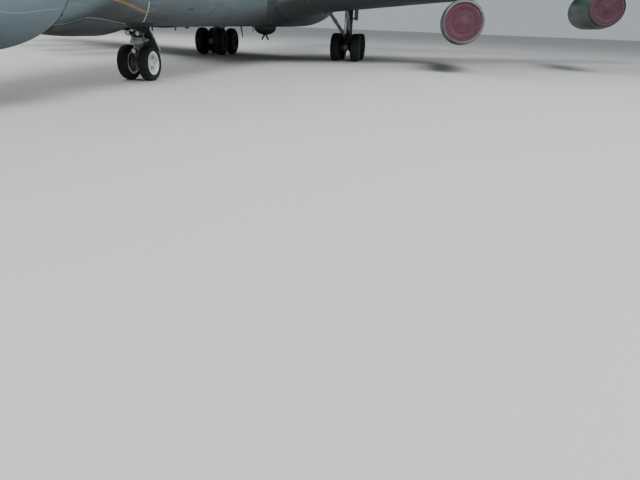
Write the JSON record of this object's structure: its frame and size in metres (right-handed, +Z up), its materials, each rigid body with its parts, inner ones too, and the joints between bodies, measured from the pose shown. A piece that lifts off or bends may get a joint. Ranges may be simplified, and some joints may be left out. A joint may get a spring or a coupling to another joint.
{
  "type": "half-scale model of a four-engined narrow body airliner with a bulbous nose radome",
  "caption": "Low-wing swept jet at half size with a drooping bulbous nose, podded engines, parked on a steerable twin nose wheel and two bogies, with moving control surfaces.",
  "frame": {"origin": "centre of the bounding box on the ground the wheels stand on", "axes": "+Z up, nose towards -Y, +X towards the port wing tip"},
  "size_m": [19.94, 21.6804, 6.35],
  "materials": {
    "grey_paint": "weathered satin grey paint on aluminium skin",
    "dark_grey_paint": "dark grey paint",
    "radome_paint": "grey erosion-resistant paint on glass-fibre",
    "cowl_paint": "weathered dark green-grey paint",
    "cover_cloth_red": "dusty red painted intake plug",
    "gear_paint": "grey painted forging, greasy",
    "tyre": "worn black rubber",
    "rim_white": "white painted wheel"
  },
  "bodies": {
    "root": {"fuselage": "grey_paint", "nose_radome": "radome_paint", "chin_fairing": "dark_grey_paint", "belly_dome": "dark_grey_paint", "wing_left": "grey_paint", "wing_right": "grey_paint", "fin": "grey_paint", "pylon_inboard_left": "dark_grey_paint", "pylon_inboard_right": "dark_grey_paint", "nacelle_inboard_left": "cowl_paint", "nacelle_inboard_right": "cowl_paint", "inlet_cover_inboard_left": "cover_cloth_red", "inlet_cover_inboard_right": "cover_cloth_red", "pylon_outboard_left": "dark_grey_paint", "pylon_outboard_right": "dark_grey_paint", "nacelle_outboard_left": "cowl_paint", "nacelle_outboard_right": "cowl_paint", "inlet_cover_outboard_left": "cover_cloth_red", "inlet_cover_outboard_right": "cover_cloth_red", "nose_leg": "gear_paint", "nose_gear_door": "dark_grey_paint", "main_leg_left": "gear_paint", "main_leg_right": "gear_paint", "bogie_beam_left": "gear_paint", "bogie_beam_right": "gear_paint"},
    "flap_inboard_left": {"flap_inboard_left": "grey_paint"},
    "flap_inboard_right": {"flap_inboard_right": "grey_paint"},
    "aileron_inboard_left": {"aileron_inboard_left": "grey_paint"},
    "aileron_inboard_right": {"aileron_inboard_right": "grey_paint"},
    "flap_outboard_left": {"flap_outboard_left": "grey_paint"},
    "flap_outboard_right": {"flap_outboard_right": "grey_paint"},
    "aileron_outboard_left": {"aileron_outboard_left": "grey_paint"},
    "aileron_outboard_right": {"aileron_outboard_right": "grey_paint"},
    "spoiler_inboard_left": {"spoiler_inboard_left": "grey_paint"},
    "spoiler_inboard_right": {"spoiler_inboard_right": "grey_paint"},
    "spoiler_outboard_left": {"spoiler_outboard_left": "grey_paint"},
    "spoiler_outboard_right": {"spoiler_outboard_right": "grey_paint"},
    "rudder": {"rudder": "grey_paint"},
    "tailplane": {"tailplane_left": "grey_paint", "tailplane_right": "grey_paint"},
    "elevator_left": {"elevator_left": "grey_paint"},
    "elevator_right": {"elevator_right": "grey_paint"},
    "nose_steering": {"nose_fork": "gear_paint"},
    "nose_wheel_pair": {"nose_wheels": "rim_white", "nose_tyre_left": "tyre", "nose_tyre_right": "tyre"},
    "bogie_axle_front_left": {"main_wheels_front_left": "rim_white", "main_tyre_front_outer_left": "tyre", "main_tyre_front_inner_left": "tyre"},
    "bogie_axle_front_right": {"main_wheels_front_right": "rim_white", "main_tyre_front_outer_right": "tyre", "main_tyre_front_inner_right": "tyre"},
    "bogie_axle_rear_left": {"main_wheels_rear_left": "rim_white", "main_tyre_rear_outer_left": "tyre", "main_tyre_rear_inner_left": "tyre"},
    "bogie_axle_rear_right": {"main_wheels_rear_right": "rim_white", "main_tyre_rear_outer_right": "tyre", "main_tyre_rear_inner_right": "tyre"}
  },
  "joints": [
    {"name": "nose_steer", "type": "hinge", "parent": "root", "child": "nose_steering", "pos_m": [0, -7.0802, 0.2375], "axis": [0, 0, 1], "range_deg": [-55, 55]},
    {"name": "nose_roll", "type": "hinge", "parent": "nose_steering", "child": "nose_wheel_pair", "pos_m": [0, -7.0802, 0.215], "axis": [1, 0, 0], "continuous": true},
    {"name": "bogie_roll_front_left", "type": "hinge", "parent": "root", "child": "bogie_axle_front_left", "pos_m": [1.655, -0.5502, 0.3075], "axis": [1, 0, 0], "continuous": true},
    {"name": "bogie_roll_front_right", "type": "hinge", "parent": "root", "child": "bogie_axle_front_right", "pos_m": [-1.655, -0.5502, 0.3075], "axis": [1, 0, 0], "continuous": true},
    {"name": "bogie_roll_rear_left", "type": "hinge", "parent": "root", "child": "bogie_axle_rear_left", "pos_m": [1.655, 0.1998, 0.3075], "axis": [1, 0, 0], "continuous": true},
    {"name": "bogie_roll_rear_right", "type": "hinge", "parent": "root", "child": "bogie_axle_rear_right", "pos_m": [-1.655, 0.1998, 0.3075], "axis": [1, 0, 0], "continuous": true},
    {"name": "flap_inboard_left_hinge", "type": "hinge", "parent": "root", "child": "flap_inboard_left", "pos_m": [1.4, 0.22927, 1.25183], "axis": [-0.9133, -0.3942, -0.1025], "range_deg": [0, 40]},
    {"name": "flap_inboard_right_hinge", "type": "hinge", "parent": "root", "child": "flap_inboard_right", "pos_m": [-1.4, 0.22927, 1.25183], "axis": [-0.9133, 0.3942, 0.1025], "range_deg": [0, 40]},
    {"name": "flap_outboard_left_hinge", "type": "hinge", "parent": "root", "child": "flap_outboard_left", "pos_m": [4.6, 1.67318, 1.61635], "axis": [-0.8628, -0.4956, -0.0993], "range_deg": [0, 40]},
    {"name": "flap_outboard_right_hinge", "type": "hinge", "parent": "root", "child": "flap_outboard_right", "pos_m": [-4.6, 1.67318, 1.61635], "axis": [-0.8628, 0.4956, 0.0993], "range_deg": [0, 40]},
    {"name": "aileron_outboard_left_hinge", "type": "hinge", "parent": "root", "child": "aileron_outboard_left", "pos_m": [6.875, 2.97998, 1.87825], "axis": [0.8628, 0.4956, 0.0993], "range_deg": [-20, 20]},
    {"name": "aileron_outboard_right_hinge", "type": "hinge", "parent": "root", "child": "aileron_outboard_right", "pos_m": [-6.875, 2.97998, 1.87825], "axis": [0.8628, -0.4956, -0.0993], "range_deg": [-20, 20]},
    {"name": "aileron_inboard_left_hinge", "type": "hinge", "parent": "root", "child": "aileron_inboard_left", "pos_m": [3.575, 1.14696, 1.49695], "axis": [0.8648, 0.4921, 0.0997], "range_deg": [-20, 20]},
    {"name": "aileron_inboard_right_hinge", "type": "hinge", "parent": "root", "child": "aileron_inboard_right", "pos_m": [-3.575, 1.14696, 1.49695], "axis": [0.8648, -0.4921, -0.0997], "range_deg": [-20, 20]},
    {"name": "spoiler_inboard_left_hinge", "type": "hinge", "parent": "root", "child": "spoiler_inboard_left", "pos_m": [1.7, -0.23277, 1.48314], "axis": [0.8927, 0.4445, 0.0742], "range_deg": [0, 60]},
    {"name": "spoiler_inboard_right_hinge", "type": "hinge", "parent": "root", "child": "spoiler_inboard_right", "pos_m": [-1.7, -0.23277, 1.48314], "axis": [0.8927, -0.4445, -0.0742], "range_deg": [0, 60]},
    {"name": "spoiler_outboard_left_hinge", "type": "hinge", "parent": "root", "child": "spoiler_outboard_left", "pos_m": [4.8, 1.33992, 1.77425], "axis": [0.848, 0.5233, 0.0835], "range_deg": [0, 60]},
    {"name": "spoiler_outboard_right_hinge", "type": "hinge", "parent": "root", "child": "spoiler_outboard_right", "pos_m": [-4.8, 1.33992, 1.77425], "axis": [0.848, -0.5233, -0.0835], "range_deg": [0, 60]},
    {"name": "rudder_hinge", "type": "hinge", "parent": "root", "child": "rudder", "pos_m": [0, 8.64389, 3.175], "axis": [0, 0.2631, 0.9648], "range_deg": [-25, 25]},
    {"name": "tailplane_trim", "type": "hinge", "parent": "root", "child": "tailplane", "pos_m": [0, 9.0348, 2.27767], "axis": [1, 0, 0], "range_deg": [-0.5, 14]},
    {"name": "elevator_left_hinge", "type": "hinge", "parent": "tailplane", "child": "elevator_left", "pos_m": [0.6, 9.3588, 2.30535], "axis": [0.8986, 0.4246, 0.1105], "range_deg": [-14, 25]},
    {"name": "elevator_right_hinge", "type": "hinge", "parent": "tailplane", "child": "elevator_right", "pos_m": [-0.6, 9.3588, 2.30535], "axis": [0.8986, -0.4246, -0.1105], "range_deg": [-14, 25]}
  ],
  "couplings": [
    {"joint": "flap_inboard_right_hinge", "follows": "flap_inboard_left_hinge", "ratio": 1},
    {"joint": "flap_outboard_left_hinge", "follows": "flap_inboard_left_hinge", "ratio": 1},
    {"joint": "flap_outboard_right_hinge", "follows": "flap_inboard_left_hinge", "ratio": 1},
    {"joint": "aileron_outboard_right_hinge", "follows": "aileron_outboard_left_hinge", "ratio": -1},
    {"joint": "aileron_inboard_left_hinge", "follows": "aileron_outboard_left_hinge", "ratio": 1},
    {"joint": "aileron_inboard_right_hinge", "follows": "aileron_outboard_left_hinge", "ratio": -1},
    {"joint": "spoiler_inboard_right_hinge", "follows": "spoiler_inboard_left_hinge", "ratio": 1},
    {"joint": "spoiler_outboard_left_hinge", "follows": "spoiler_inboard_left_hinge", "ratio": 1},
    {"joint": "spoiler_outboard_right_hinge", "follows": "spoiler_inboard_left_hinge", "ratio": 1},
    {"joint": "elevator_right_hinge", "follows": "elevator_left_hinge", "ratio": 1}
  ]
}
